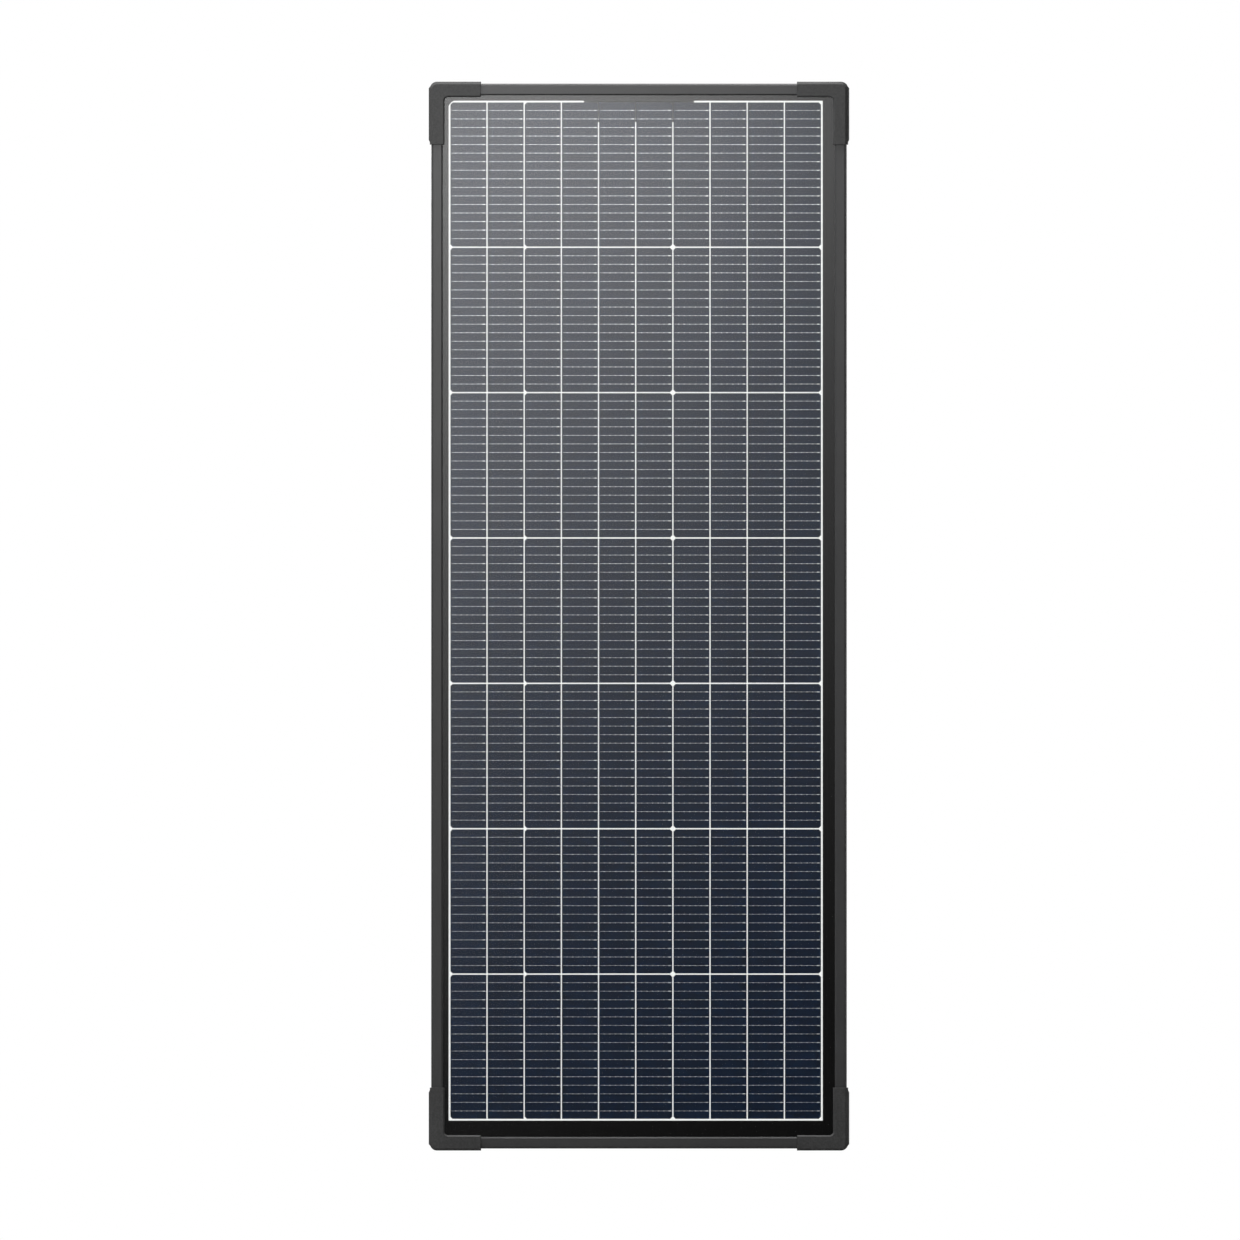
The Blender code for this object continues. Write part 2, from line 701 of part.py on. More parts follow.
# ---------------------------------------------------------------- junction box

def build_junction_pad():
    """Double-sided foam pad that bonds the box to the rear glass."""
    _, glass_back = layer("rear_glass")
    inset = 0.001
    half = BOX_WIDTH / 2 - inset
    loops = [rectangle(-half, half, BASE_LOW + inset, BASE_HIGH - 0.0006)]
    loops += [circle((x, LEAD_HOLE_Z), LEAD_HOLE_RADIUS, 16) for x in TERMINAL_XS]
    shape = extruded(loops, "Y", glass_back + 0.0002, BASE_FRONT - 0.0002)
    add_object("junction_pad", shape, "seal_rubber")


def build_junction_base():
    """Tray with a shelf that reaches under the frame's flange, where the leads come out."""
    half = BOX_WIDTH / 2
    section = [(BASE_FRONT, BASE_LOW), (BASE_FRONT, BASE_HIGH), (SHELF_Y, BASE_HIGH),
               (SHELF_Y, RIM_TOP_Z), (RIM_Y, RIM_TOP_Z), (RIM_Y, BASE_LOW)]
    base = add_object("junction_base", extruded([section], "X", -half, half), "box_plastic")
    round_edges(base, 0.0007)

    inner = half - BOX_WALL
    above = 0.010
    main_room = box_shape((-inner, FLOOR_Y, BASE_LOW + BOX_WALL), (inner, RIM_Y + above, RIM_INNER_Z))
    cut(base, guide("junction_main_room", main_room))
    pocket = box_shape((-inner + 0.002, FLOOR_Y, RIM_INNER_Z - 0.004),
                       (inner - 0.002, SHELF_Y - BOX_FLOOR, BASE_HIGH - 0.0022))
    cut(base, guide("junction_pocket", pocket))

    groove_inset = 0.0008
    groove_width = 0.0014
    groove = [(groove_inset, RIM_Y - 0.0010), (groove_inset, RIM_Y + above),
              (groove_inset + groove_width, RIM_Y + above),
              (groove_inset + groove_width, RIM_Y - 0.0010)]
    cut(base, guide("junction_groove", swept_ring(groove, -half, half, BASE_LOW, LID_TOP_Z)))
    build_lid_seal(groove_inset, groove_width)

    for index, x in enumerate(TERMINAL_XS):
        slot = box_shape((x - 0.003, BASE_FRONT - 0.002, LEAD_HOLE_Z - 0.0015),
                         (x + 0.003, FLOOR_Y + 0.002, LEAD_HOLE_Z + 0.0015))
        cut(base, guide(f"junction_lead_slot_{index}", slot))
    for side in (-1, 1):
        hole = extruded([circle((side * GLAND_X, GLAND_Y), 0.0043)], "Z",
                        BASE_LOW - 0.002, BASE_LOW + BOX_WALL + 0.002)
        cut(base, guide(f"junction_gland_hole_{side}", hole))
        ear_offset = KNUCKLE_LENGTH / 2 + GAP
        for end in (-1, 1):
            near = side * HINGE_X + end * ear_offset
            far = near + end * EAR_THICKNESS
            join(base, guide(f"junction_ear_{side}_{end}", ear_shape(near, far)))


def ear_shape(near, far):
    """Hinge ear: a round eye about the pin on a short foot."""
    bore = circle((HINGE_Y, HINGE_Z), PIN_RADIUS + RUNNING_CLEARANCE)
    eye = arc((HINGE_Y, HINGE_Z), HINGE_RADIUS, -90, 90, 10)
    foot = SHELF_Y - 0.0003
    outline = [(foot, HINGE_Z - HINGE_RADIUS)] + eye + [(foot, HINGE_Z + HINGE_RADIUS)]
    return extruded([outline, bore], "X", min(near, far), max(near, far))


def build_lid_seal(groove_inset, groove_width):
    inset = groove_inset + 0.0001
    width = groove_width - 0.0002
    section = [(inset, RIM_Y - 0.0009), (inset, RIM_Y + 0.0001),
               (inset + width / 2, RIM_Y + 0.0002), (inset + width, RIM_Y + 0.0001),
               (inset + width, RIM_Y - 0.0009)]
    half = BOX_WIDTH / 2
    shape = swept_ring(section, -half, half, BASE_LOW, LID_TOP_Z)
    add_object("lid_seal", shape, "seal_rubber")


def lid_sections():
    """Plate with a raised rim around a shallow field, from its inner face out."""
    half = BOX_WIDTH / 2
    inner_face = RIM_Y + GAP
    outer_face = inner_face + 0.0020

    def outline(inset):
        return rounded_rectangle(-half + inset, half - inset, BOX_LOW + inset, LID_TOP_Z - inset,
                                 0.0040 - inset, 4)

    return [
        (inner_face, outline(0.0)),
        (outer_face - 0.0005, outline(0.0)),
        (outer_face, outline(0.0005)),
        (outer_face, outline(0.0022)),
        (outer_face - 0.0005, outline(0.0027)),
    ]


def build_junction_lid():
    """Lid with two hinge knuckles along its top edge and three latch tabs along its lower edge."""
    hinge = bpy.data.objects.new("lid_hinge_axis", None)
    bpy.context.scene.collection.objects.link(hinge)
    hinge.location = (0.0, HINGE_Y, HINGE_Z)
    back_to_axis = (0.0, -HINGE_Y, -HINGE_Z)

    lid = add_object("junction_lid", stacked(lid_sections()), "box_plastic", back_to_axis)
    lid.parent = hinge
    inner_face = RIM_Y + GAP
    neck_near = inner_face + 0.0002
    neck_far = inner_face + 0.0017
    for side in (-1, 1):
        bore = circle((HINGE_Y, HINGE_Z), PIN_RADIUS + RUNNING_CLEARANCE)
        eye = arc((HINGE_Y, HINGE_Z), HINGE_RADIUS, neck_angle(neck_far), neck_angle(neck_near), 16)
        outline = eye + [(neck_near, LID_TOP_Z - 0.002), (neck_far, LID_TOP_Z - 0.002)]
        middle = side * HINGE_X
        ends = (middle - KNUCKLE_LENGTH / 2, middle + KNUCKLE_LENGTH / 2)
        join(lid, guide(f"lid_knuckle_{side}", extruded([outline, bore], "X", *ends)))
    for index, x in enumerate((-0.052, 0.0, 0.052)):
        tab = stacked([
            (inner_face + 0.0005, rectangle(x - 0.005, x + 0.005, BOX_LOW, BASE_LOW - GAP)),
            (inner_face - 0.0052, rectangle(x - 0.004, x + 0.004, BOX_LOW + 0.0002, BASE_LOW - GAP)),
        ])
        join(lid, guide(f"lid_latch_{index}", tab))


def neck_angle(y):
    """Angle, from the lower right round to the lower left of a knuckle's eye, at that depth."""
    angle = -math.degrees(math.acos((y - HINGE_Y) / HINGE_RADIUS))
    return angle if y > HINGE_Y else angle + 360


def build_hinge_pins():
    length = KNUCKLE_LENGTH + 2 * (GAP + EAR_THICKNESS) + 0.0004
    profile = [(PIN_RADIUS - 0.0002, -length / 2), (PIN_RADIUS, -length / 2 + 0.0002),
               (PIN_RADIUS, length / 2 - 0.0002), (PIN_RADIUS - 0.0002, length / 2)]
    for side, name in ((-1, "left"), (1, "right")):
        add_object(f"hinge_pin_{name}", turned(profile, hollow=False), "pin_steel",
                   (side * HINGE_X, HINGE_Y, HINGE_Z), (0, math.pi / 2, 0))


def build_terminals():
    """Clamp blocks on the floor of the box, each with a cable hole facing the glands."""
    block_top = FLOOR_Y + 0.0055 - GAP
    for x, name in zip(TERMINAL_XS, ("positive", "tap", "negative")):
        block = add_object(
            f"terminal_{name}",
            box_shape((x - 0.0042, FLOOR_Y + GAP, 0.6310), (x + 0.0042, block_top, 0.6410)), "brass")
        round_edges(block, 0.0004, 1)
        middle_y = (FLOOR_Y + GAP + block_top) / 2
        wire_hole = extruded([circle((x, middle_y), 0.0016, 16)], "Z", 0.6290, 0.6380)
        cut(block, guide(f"terminal_{name}_wire_hole", wire_hole))


def build_diodes():
    """Bypass diodes lying between neighbouring terminals."""
    body_radius = 0.0022
    lead_radius = 0.0006
    body_half = 0.0045
    reach = (TERMINAL_XS[1] - TERMINAL_XS[0]) / 2 - 0.0042 - GAP
    profile = [(lead_radius, -reach), (lead_radius, -body_half), (body_radius, -body_half + 0.0003),
               (body_radius, body_half - 0.0003), (lead_radius, body_half), (lead_radius, reach)]
    for number in (1, 2):
        x = (TERMINAL_XS[number - 1] + TERMINAL_XS[number]) / 2
        add_object(f"bypass_diode_{number}", turned(profile, hollow=False, sides=16), "seal_rubber",
                   (x, FLOOR_Y + body_radius + GAP, 0.6360), (0, math.pi / 2, 0))


def build_glands():
    """Cable glands in the lower wall: body, rubber bush and domed nut."""
    wall_z = BASE_LOW
    body = [
        (GLAND_BORE, wall_z + BOX_WALL + 0.0010),
        (0.0040, wall_z + BOX_WALL + 0.0010),
        (0.0040, wall_z - GAP),
        (0.0062, wall_z - GAP),
        (0.0062, wall_z - 0.0033),
        (0.0047, wall_z - 0.0033),
        (0.0047, wall_z - 0.0080),
        (GLAND_BORE, wall_z - 0.0080),
    ]
    bush = [
        (GLAND_BORE - 0.0001, wall_z - 0.0083),
        (0.0046, wall_z - 0.0083),
        (0.0042, wall_z - 0.0115),
        (GLAND_BORE - 0.0001, wall_z - 0.0115),
    ]
    nut = [
        (0.0051, wall_z - 0.0036),
        (0.0063, wall_z - 0.0036),
        (0.0063, wall_z - 0.0100),
        (0.0057, wall_z - 0.0125),
        (0.0043, wall_z - 0.0138),
        (GLAND_BORE, wall_z - 0.0138),
        (GLAND_BORE, wall_z - 0.0119),
        (0.0045, wall_z - 0.0119),
        (0.0051, wall_z - 0.0086),
    ]
    for side, name in ((-1, "left"), (1, "right")):
        place = (side * GLAND_X, GLAND_Y, 0.0)
        add_object(f"gland_body_{name}", turned(body, hollow=True), "guard_plastic", place)
        add_object(f"gland_bush_{name}", turned(bush, hollow=True), "seal_rubber", place)
        add_object(f"gland_nut_{name}", turned(nut, hollow=True), "guard_plastic", place)


# ---------------------------------------------------------------- the whole panel

def main():
    clear_scene()
    build_rails()
    build_corner_keys()
    build_corner_guards()
    build_edge_gasket()
    build_sheet("front_glass", "clear_glass")
    build_border_mask()
    build_sheet("front_encapsulant", "encapsulant")
    build_cell_strings()
    build_bus_links()
    build_bus_leads()
    build_sheet("rear_encapsulant", "encapsulant", holes=True)
    build_sheet("rear_glass", "clear_glass", holes=True)
    build_junction_pad()
    build_junction_base()
    build_junction_lid()
    build_hinge_pins()
    build_terminals()
    build_diodes()
    build_glands()


main()
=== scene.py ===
"""The looks of a framed glass-glass solar panel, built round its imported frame.

Units are metres. The cells face -Y and +Z is up. Sizes come from the frame's own boxes.
"""

import math
import random

import bpy
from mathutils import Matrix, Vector


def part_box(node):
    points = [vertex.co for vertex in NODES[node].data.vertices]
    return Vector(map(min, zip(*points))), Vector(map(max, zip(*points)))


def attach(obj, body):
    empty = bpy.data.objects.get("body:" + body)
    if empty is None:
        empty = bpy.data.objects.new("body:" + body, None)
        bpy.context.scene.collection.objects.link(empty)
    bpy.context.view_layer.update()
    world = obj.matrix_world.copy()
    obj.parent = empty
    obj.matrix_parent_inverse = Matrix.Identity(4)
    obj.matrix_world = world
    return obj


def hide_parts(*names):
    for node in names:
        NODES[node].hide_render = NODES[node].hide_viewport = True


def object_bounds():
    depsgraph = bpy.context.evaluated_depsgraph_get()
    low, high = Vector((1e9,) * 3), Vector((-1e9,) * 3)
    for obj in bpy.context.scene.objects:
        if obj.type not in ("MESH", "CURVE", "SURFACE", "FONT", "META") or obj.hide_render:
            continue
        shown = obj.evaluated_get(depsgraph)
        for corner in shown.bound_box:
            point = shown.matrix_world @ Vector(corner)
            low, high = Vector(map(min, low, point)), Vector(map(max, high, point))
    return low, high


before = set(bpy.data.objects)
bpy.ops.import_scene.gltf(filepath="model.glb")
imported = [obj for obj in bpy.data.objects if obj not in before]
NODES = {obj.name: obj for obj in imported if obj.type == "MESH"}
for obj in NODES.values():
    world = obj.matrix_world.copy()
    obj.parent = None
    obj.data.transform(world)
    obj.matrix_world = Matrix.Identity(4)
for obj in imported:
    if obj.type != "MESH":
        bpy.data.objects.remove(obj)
CAD_LOW, CAD_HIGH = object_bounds()
PANEL = "panel"
MM = 0.001

ROWS = 7
COLUMNS = 10
CELL_GAP = 1.45 * MM           # between the cells of a string
CHAMFER = 2.8 * MM             # cut corner of a wafer
CHAMFERED_LEFT = (0, 2, 6)     # columns whose left corners are a wafer's own
CHAMFERED_RIGHT = (5, 9)
WAFER = 0.16 * MM
WIRES = 16                     # fine wires across each cell
WIRE_SPACING = 10.8 * MM
WIRE_WIDTH = 0.34 * MM
WIRE_HEIGHT = 0.13 * MM
FINGER_PITCH = 1.25 * MM       # printed silver lines
FINGER_SHARE = 0.06            # of the pitch that a line covers
PAD_SPACING = 7.1 * MM         # solder pads along a wire
PAD_SIZE = (1.9 * MM, 0.60 * MM)
END_PAD_SIZE = (3.4 * MM, 0.85 * MM)
END_PAD_INSET = 3.4 * MM       # from its middle to the cell's right edge
PAD_RISE = WIRE_HEIGHT * 1.1
PAD_TOP_SHARE = 0.7            # how much narrower a pad is at its top
WIRE_MARGIN = 1.2 * MM         # a wire starts and stops this far inside the outer edges of its two cells
WIRE_CRANK = 0.3 * MM          # it turns from face to back this near the gap
STRING_END_GAP = 0.4 * MM      # the last wires of a string stop this far inside its ends

VIEW_WIDTH = 1.566             # what the picture spans
VIEW_CENTRE = (-0.0237, -0.0049)    # the middle of the picture, across and up
VIEW_YAW = 1.0                 # degrees the camera stands to the right
VIEW_DISTANCE = 4.0

FLOOR_RADIUS = 7.0
FLOOR_SIDES = 96
FLOOR_GAP = 0.4 * MM           # under the lowest corner of the panel
FLOOR_GLOW = 0.18              # what it gives off everywhere
FLOOR_FADE = (1.2, 3.6)        # it turns white between these distances from the panel's middle
BACKDROP_STRENGTH = 1.25       # past white, so that it shows as plain white
ROOM_STRENGTH = 0.015          # dim light from all round

# The lamps that only the glass and other glossy faces show, brightest high on the left:
# name, place, width and power.
MIRRORED_SOFTBOXES = (
    ("mirrored_softbox_high", -0.30, -1.68, 0.96, 0.97, 15.8),
    ("mirrored_softbox_middle", -0.38, -2.24, 0.43, 0.88, 6.8),
    ("mirrored_softbox_low", -0.70, -1.15, -0.05, 0.95, 1.8),
)


# ---------------------------------------------------------------- materials

class Graph:
    """A material's node tree, with short ways to add and join nodes."""

    def __init__(self, name):
        self.material = bpy.data.materials.new(name)
        self.material.use_nodes = True
        self.tree = self.material.node_tree
        self.tree.nodes.clear()
        self.output = self.tree.nodes.new("ShaderNodeOutputMaterial")
        self.place = self.tree.nodes.new("ShaderNodeTexCoord").outputs["Object"]

    def add(self, kind, **inputs):
        """A node whose inputs are set by name, with _ for a space, or linked if a socket is given."""
        node = self.tree.nodes.new(kind)
        for name, value in inputs.items():
            self.feed(node.inputs[name.replace("_", " ")], value)
        return node

    def feed(self, socket, value):
        """Links a socket into this one, or sets its value."""
        if isinstance(value, bpy.types.NodeSocket):
            self.tree.links.new(value, socket)
        else:
            socket.default_value = value

    def math(self, operation, first, second=0.0, third=0.0):
        node = self.tree.nodes.new("ShaderNodeMath")
        node.operation = operation
        for socket, value in zip(node.inputs, (first, second, third)):
            self.feed(socket, value)
        return node.outputs[0]

    def scaled(self, stretch):
        """The place in the frame, stretched along each axis."""
        node = self.tree.nodes.new("ShaderNodeMapping")
        self.feed(node.inputs["Vector"], self.place)
        node.inputs["Scale"].default_value = stretch
        return node.outputs[0]

    def noise(self, size, detail=2.0, stretch=(1.0, 1.0, 1.0)):
        """Noise from 0 to 1 whose features are about that size in metres."""
        node = self.add("ShaderNodeTexNoise", Vector=self.scaled(stretch), Scale=1 / size, Detail=detail)
        return node.outputs["Fac"]

    def between(self, factor, low, high, start=0.3, end=0.7):
        """A number from low to high as factor runs from start to end, by default the usual span of noise."""
        node = self.tree.nodes.new("ShaderNodeMapRange")
        self.feed(node.inputs["Value"], factor)
        for name, value in (("From Min", start), ("From Max", end), ("To Min", low), ("To Max", high)):
            self.feed(node.inputs[name], value)
        return node.outputs[0]

    def mix(self, factor, first, second):
        """A mix of two colours."""
        node = self.tree.nodes.new("ShaderNodeMix")
        node.data_type = "RGBA"
        self.feed(node.inputs["Factor"], factor)
        self.feed(node.inputs[6], first)
        self.feed(node.inputs[7], second)
        return node.outputs[2]

    def tones(self, factor, colour, spread):
        """A colour that gets that share darker and lighter with factor."""
        dark = [c * (1 - spread) for c in colour] + [1.0]
        light = [c * (1 + spread) for c in colour] + [1.0]
        return self.mix(self.between(factor, 0.0, 1.0), dark, light)

    def bump(self, height, depth, below=None):
        node = self.tree.nodes.new("ShaderNodeBump")
        node.inputs["Distance"].default_value = depth
        self.feed(node.inputs["Height"], height)
        if below is not None:
            self.feed(node.inputs["Normal"], below)
        return node.outputs[0]

    def surface(self, colour, roughness, normal=None, metallic=0.0, specular=0.5):
        shader = self.add("ShaderNodeBsdfPrincipled", Roughness=roughness, Metallic=metallic)
        self.feed(shader.inputs["Base Color"], colour)
        shader.inputs["Specular IOR Level"].default_value = specular
        if normal is not None:
            self.feed(shader.inputs["Normal"], normal)
        return shader.outputs[0]

    def finish(self, shader):
        self.feed(self.output.inputs["Surface"], shader)
        return self.material


def anodised(name, stretch):
    """Black anodised aluminium, with fine extrusion lines along the rail."""
    graph = Graph(name)
    lines = graph.noise(0.5 * MM, 3.0, stretch)
    blotches = graph.noise(60 * MM, 2.0)
    grain = graph.noise(0.25 * MM, 1.0)
    mottled = graph.math("ADD", graph.math("MULTIPLY", lines, 0.6), graph.math("MULTIPLY", blotches, 0.4))
    colour = graph.tones(mottled, (0.041, 0.041, 0.0415), 0.10)
    normal = graph.bump(grain, 0.010 * MM, graph.bump(lines, 0.012 * MM))
    return graph.finish(graph.surface(colour, graph.between(lines, 0.36, 0.46), normal,
                                      metallic=0.2, specular=0.25))


def moulded(name, colour, texture, depth, roughness, spread=0.10, specular=0.5):
    """Moulded plastic with a fine spark-eroded texture."""
    graph = Graph(name)
    texture_height = graph.noise(texture, 2.0)
    shade = graph.noise(texture * 1.5, 3.0)
    flow = graph.noise(25 * MM, 2.0)
    mottled = graph.math("ADD", graph.math("MULTIPLY", shade, 0.75), graph.math("MULTIPLY", flow, 0.25))
    return graph.finish(graph.surface(graph.tones(mottled, colour, spread),
                                      graph.between(flow, roughness - 0.04, roughness + 0.04),
                                      graph.bump(texture_height, depth), specular=specular))


def rubber(name, colour):
    graph = Graph(name)
    skin = graph.noise(0.8 * MM, 3.0)
    return graph.finish(graph.surface(graph.tones(skin, colour, 0.15), graph.between(skin, 0.62, 0.78),
                                      graph.bump(skin, 0.02 * MM)))


def foam(name):
    """Closed-cell foam tape: small round pores."""
    graph = Graph(name)
    pores = graph.add("ShaderNodeTexVoronoi", Vector=graph.place, Scale=1 / (0.7 * MM)).outputs["Distance"]
    colour = graph.tones(pores, (0.32, 0.32, 0.325), 0.15)
    return graph.finish(graph.surface(colour, 0.9, graph.bump(pores, 0.1 * MM)))


def metal(name, colour, roughness, size=0.4 * MM, stretch=(1.0, 1.0, 1.0)):
    """Bare or plated metal, a little uneven and dulled in patches."""
    graph = Graph(name)
    grain = graph.noise(size, 3.0, stretch)
    dull = graph.noise(size * 12, 2.0)
    return graph.finish(graph.surface(graph.tones(dull, colour, 0.12),
                                      graph.between(dull, roughness - 0.06, roughness + 0.08),
                                      graph.bump(grain, 0.006 * MM), metallic=1.0))


def film(name):
    """Black border film, a dull print with a very fine tooth."""
    graph = Graph(name)
    tooth = graph.noise(0.6 * MM, 2.0)
    return graph.finish(graph.surface(graph.tones(tooth, (0.0007, 0.0007, 0.0007), 0.3),
                                      graph.between(tooth, 0.75, 0.85), specular=0.0))


def clear_layer(name, tint, haze):
    """A layer that is joined to its neighbours, so it only tints what is seen through it."""
    graph = Graph(name)
    cloud = graph.noise(8 * MM, 3.0)
    clear = graph.add("ShaderNodeBsdfTransparent")
    graph.feed(clear.inputs["Color"], graph.mix(cloud, [1.0, 1.0, 1.0, 1.0], tint))
    veil = graph.add("ShaderNodeBsdfDiffuse")
    graph.feed(veil.inputs["Color"], [0.8, 0.82, 0.82, 1.0])
    mixed = graph.add("ShaderNodeMixShader")
    graph.feed(mixed.inputs[0], graph.between(cloud, 0.0, haze))
    graph.feed(mixed.inputs[1], clear.outputs[0])
    graph.feed(mixed.inputs[2], veil.outputs[0])
    return graph.finish(mixed.outputs[0])


def outer_glass(name):
    """The open face of the glass: a matt anti-glare face that mirrors by its angle."""
    graph = Graph(name)
    ripple = graph.noise(1.4 * MM, 2.0)
    clear = graph.add("ShaderNodeBsdfTransparent")
    graph.feed(clear.inputs["Color"], graph.mix(ripple, [0.985, 0.99, 0.988, 1.0], [0.975, 0.985, 0.98, 1.0]))
    mirror = graph.add("ShaderNodeBsdfAnisotropic")
    graph.feed(mirror.inputs["Color"], [1.0, 1.0, 1.0, 1.0])
    graph.feed(mirror.inputs["Roughness"], graph.between(ripple, 0.29, 0.31))
    mixed = graph.add("ShaderNodeMixShader")
    slant = graph.math("POWER", graph.add("ShaderNodeLayerWeight", Blend=0.5).outputs["Facing"], 5.0)
    graph.feed(mixed.inputs[0], graph.math("MULTIPLY_ADD", slant, 0.96, 0.04))
    graph.feed(mixed.inputs[1], clear.outputs[0])
    graph.feed(mixed.inputs[2], mirror.outputs[0])
    return graph.finish(mixed.outputs[0])


def silicon(name):
    """Blue-black cell face with fine printed fingers that run up the cell."""
    graph = Graph(name)
    across = graph.add("ShaderNodeSeparateXYZ", Vector=graph.place).outputs["X"]
    phase = graph.math("FRACT", graph.math("DIVIDE", across, FINGER_PITCH))
    finger = graph.math("LESS_THAN", phase, FINGER_SHARE)
    texture = graph.noise(0.3 * MM, 2.0)
    tone = graph.add("ShaderNodeAttribute")
    tone.attribute_name = "cell_tone"
    cloud = graph.math("ADD", graph.math("MULTIPLY", graph.noise(35 * MM, 2.0), 0.5),
                       graph.math("MULTIPLY", tone.outputs["Fac"], 0.5))
    body = graph.tones(cloud, (0.0003, 0.0082, 0.0275), 0.12)
    colour = graph.mix(graph.math("MULTIPLY", finger, 0.35), body, [0.03, 0.045, 0.08, 1.0])
    normal = graph.bump(texture, 0.004 * MM)
    return graph.finish(graph.surface(colour, graph.between(texture, 0.5, 0.6), normal, specular=0.05))


def wire_metal(name, colour, metallic):
    """Tin or solder under encapsulant, dull and a little uneven."""
    graph = Graph(name)
    dull = graph.noise(3 * MM, 2.0)
    return graph.finish(graph.surface(graph.tones(dull, colour, 0.15),
                                      graph.between(dull, 0.35, 0.5), metallic=metallic))


def dress(material, *starts):
    """Gives a material to each CAD node whose name starts that way."""
    for name, node in NODES.items():
        if name.startswith(starts):
            node.data.materials.clear()
            node.data.materials.append(material)


def dress_frame():
    dress(anodised("anodised_upright", (1.0, 1.0, 0.02)), "rail_left", "rail_right")
    dress(anodised("anodised_level", (0.02, 1.0, 1.0)), "rail_top", "rail_bottom")
    dress(metal("cast_zinc", (0.45, 0.46, 0.48), 0.5), "corner_key")
    dress(moulded("guard_plastic", (0.032, 0.032, 0.032), 1.3 * MM, 0.12 * MM, 0.60, 0.32, 0.3),
          "corner_guard")
    dress(rubber("edge_rubber", (0.012, 0.012, 0.012)), "edge_gasket", "gland_bush", "lid_seal")


def dress_junction_box():
    dress(moulded("box_plastic", (0.030, 0.030, 0.031), 0.6 * MM, 0.04 * MM, 0.5),
          "junction_base", "junction_lid")
    dress(moulded("gland_plastic", (0.040, 0.040, 0.042), 0.4 * MM, 0.02 * MM, 0.42),
          "gland_body", "gland_nut")
    dress(foam("foam_pad"), "junction_pad")
    dress(metal("pin_steel", (0.58, 0.57, 0.55), 0.3, 0.2 * MM), "hinge_pin")
    dress(metal("terminal_brass", (0.62, 0.48, 0.24), 0.35), "terminal")
    dress(moulded("diode_body", (0.018, 0.018, 0.019), 0.3 * MM, 0.02 * MM, 0.45), "bypass_diode")


def dress_laminate():
    """Only the open faces of the two glasses mirror. Their other faces are joined to the encapsulant."""
    dress(film("border_film"), "border_mask")
    dress(wire_metal("tinned_ribbon", (0.62, 0.62, 0.62), 0.5), "bus_link", "bus_lead")
    inner = clear_layer("inner_glass", [0.988, 0.991, 0.990, 1.0], 0.0004)
    dress(inner, "front_glass", "rear_glass")
    face = outer_glass("outer_glass")
    for name, outward in (("front_glass", -1), ("rear_glass", 1)):
        mesh = NODES[name].data
        mesh.materials.append(face)
        for polygon in mesh.polygons:
            polygon.material_index = 1 if polygon.normal.y * outward > 0.5 else 0


def soften_edges(width, *starts):
    """Rounds the sharp edges of CAD nodes, as moulding and anodising leave them."""
    for name, node in NODES.items():
        if not name.startswith(starts):
            continue
        weld = node.modifiers.new("joined_corners", "WELD")
        weld.merge_threshold = 0.002 * MM
        bevel = node.modifiers.new("soft_edges", "BEVEL")
        bevel.width = width
        bevel.segments = 2
        bevel.limit_method = "ANGLE"
        bevel.angle_limit = math.radians(35)
        bevel.harden_normals = True


# ---------------------------------------------------------------- cells and wires

class Shape:
    """Corners and faces that grow into one mesh."""

    def __init__(self):
        self.corners = []
        self.faces = []
        self.tones = []

    def prism(self, outline, front, back, tone=0.5):
        """A flat plate between two depths. The outline of (x, z) runs anticlockwise seen from the front."""
        first = len(self.corners)
        count = len(outline)
        self.corners += [(x, front, z) for x, z in outline]
        self.corners += [(x, back, z) for x, z in outline]
        self.faces.append([first + i for i in range(count)])
        self.faces.append([first + count + i for i in reversed(range(count))])
        for i in range(count):
            following = (i + 1) % count
            self.faces.append([first + i, first + count + i, first + count + following, first + following])
        self.tones += [tone] * (count + 2)

    def swept(self, stations, z, half_width, half_height):
        """A flattened six-sided wire through stations of (x, y), all at one height z."""
        ring = [(math.cos(math.radians(60 * i)), math.sin(math.radians(60 * i))) for i in range(6)]
        first = len(self.corners)
        for x, y in stations:
            self.corners += [(x, y + half_height * up, z + half_width * along) for along, up in ring]
        for step in range(len(stations) - 1):
            start = first + 6 * step
            for i in range(6):
                following = (i + 1) % 6
                self.faces.append([start + i, start + 6 + i, start + 6 + following, start + following])
        last = first + 6 * (len(stations) - 1)
        self.faces.append([first + i for i in range(6)])
        self.faces.append([last + i for i in reversed(range(6))])

    def pad(self, x, z, size, base, top):
        """A low solder pad, narrower at its top, on the face at depth base."""
        first = len(self.corners)
        for depth, share in ((base, 1.0), (top, PAD_TOP_SHARE)):
            half_x = size[0] / 2 * share
            half_z = size[1] / 2 * share
            self.corners += [(x - half_x, depth, z - half_z), (x + half_x, depth, z - half_z),
                             (x + half_x, depth, z + half_z), (x - half_x, depth, z + half_z)]
        sides = [[0, 1, 2, 3], [7, 6, 5, 4], [0, 4, 5, 1], [1, 5, 6, 2], [2, 6, 7, 3], [3, 7, 4, 0]]
        if top < base:
            sides = [side[::-1] for side in sides]
        self.faces += [[first + i for i in side] for side in sides]

    def piece(self, name, material):
        """The shape as an object that rides on the panel."""
        mesh = bpy.data.meshes.new(name)
        mesh.from_pydata(self.corners, [], self.faces)
        mesh.materials.append(material)
        if self.tones:
            tone = mesh.attributes.new("cell_tone", "FLOAT", "FACE")
            tone.data.foreach_set("value", self.tones)
        mesh.validate()
        made = bpy.data.objects.new(name, mesh)
        bpy.context.scene.collection.objects.link(made)
        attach(made, PANEL)
        return made


